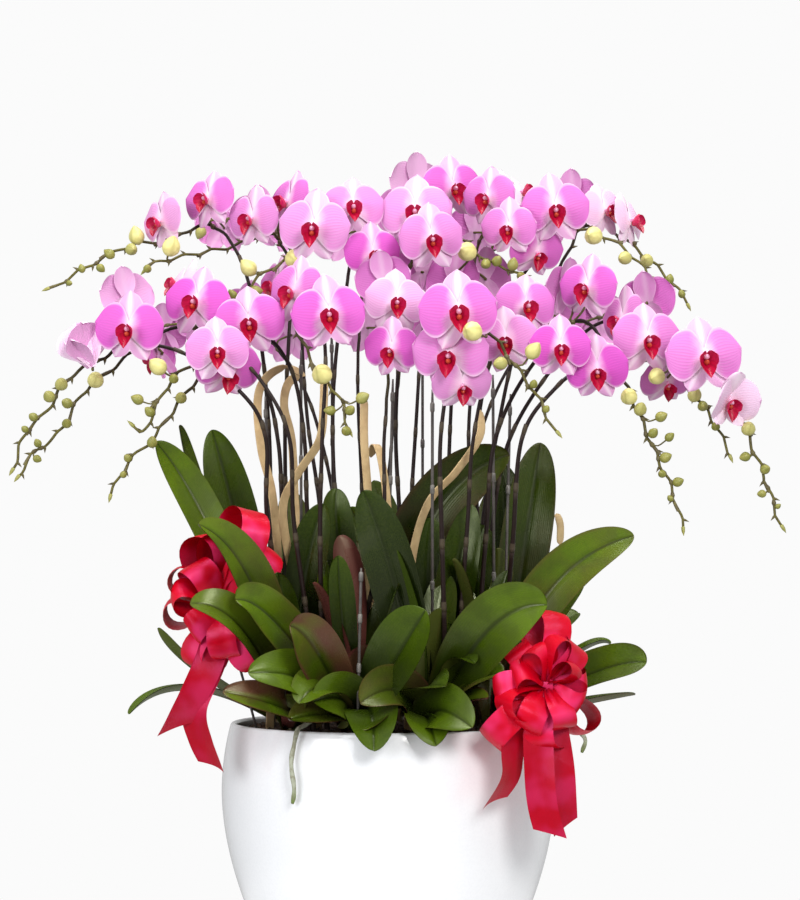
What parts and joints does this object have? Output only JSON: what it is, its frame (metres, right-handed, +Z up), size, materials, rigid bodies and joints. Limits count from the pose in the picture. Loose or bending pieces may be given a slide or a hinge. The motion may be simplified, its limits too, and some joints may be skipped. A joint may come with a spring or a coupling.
{
  "type": "potted orchid",
  "caption": "Gift planter of arching moth orchids: round glazed pot, bark, strap leaves, pink flower spikes on stakes, red ribbon bows and curled cane strips.",
  "frame": {"origin": "centre of the pot's round foot, on the surface it stands on", "axes": "+Z up the pot's axis, +X to the right as seen from the side with the bows, +Y towards the back"},
  "size_m": [0.9427, 0.5689, 1.1024],
  "materials": {
    "glazed_pot": "glossy white glaze",
    "bark": "damp rough bark chips and moss",
    "leaves": "waxy green leaf, some with purple undersides",
    "flower_spikes": "soft pink petals with a crimson lip on dark stems",
    "stakes": "dull grey-brown coating",
    "cane": "dry split cane, satin",
    "ribbon": "red satin"
  },
  "bodies": {
    "root": {"planter_pot": "glazed_pot", "bark_filling": "bark", "orchid_leaves_01": "leaves", "orchid_leaves_02": "leaves", "orchid_leaves_03": "leaves", "orchid_leaves_04": "leaves", "orchid_leaves_05": "leaves", "orchid_leaves_06": "leaves", "orchid_leaves_07": "leaves", "orchid_leaves_08": "leaves", "orchid_leaves_09": "leaves", "orchid_leaves_10": "leaves", "orchid_leaves_11": "leaves", "flower_spike_01": "flower_spikes", "flower_spike_02": "flower_spikes", "flower_spike_03": "flower_spikes", "flower_spike_04": "flower_spikes", "flower_spike_05": "flower_spikes", "flower_spike_06": "flower_spikes", "flower_spike_07": "flower_spikes", "flower_spike_08": "flower_spikes", "flower_spike_09": "flower_spikes", "flower_spike_10": "flower_spikes", "flower_spike_11": "flower_spikes", "flower_spike_12": "flower_spikes", "flower_spike_13": "flower_spikes", "flower_spike_14": "flower_spikes", "flower_spike_15": "flower_spikes", "flower_spike_16": "flower_spikes", "flower_spike_17": "flower_spikes", "flower_spike_18": "flower_spikes", "flower_spike_19": "flower_spikes", "flower_spike_20": "flower_spikes", "flower_spike_21": "flower_spikes", "flower_spike_22": "flower_spikes", "flower_spike_23": "flower_spikes", "flower_spike_24": "flower_spikes", "flower_spike_25": "flower_spikes", "support_stake_01": "stakes", "support_stake_02": "stakes", "support_stake_03": "stakes", "support_stake_04": "stakes", "support_stake_05": "stakes", "support_stake_06": "stakes", "support_stake_07": "stakes", "support_stake_08": "stakes", "support_stake_09": "stakes", "cane_strip_1": "cane", "cane_strip_2": "cane", "cane_strip_3": "cane", "cane_strip_4": "cane", "cane_strip_5": "cane", "cane_strip_6": "cane", "cane_strip_7": "cane", "ribbon_bow_left": "ribbon", "ribbon_bow_right": "ribbon"}
  },
  "joints": []
}
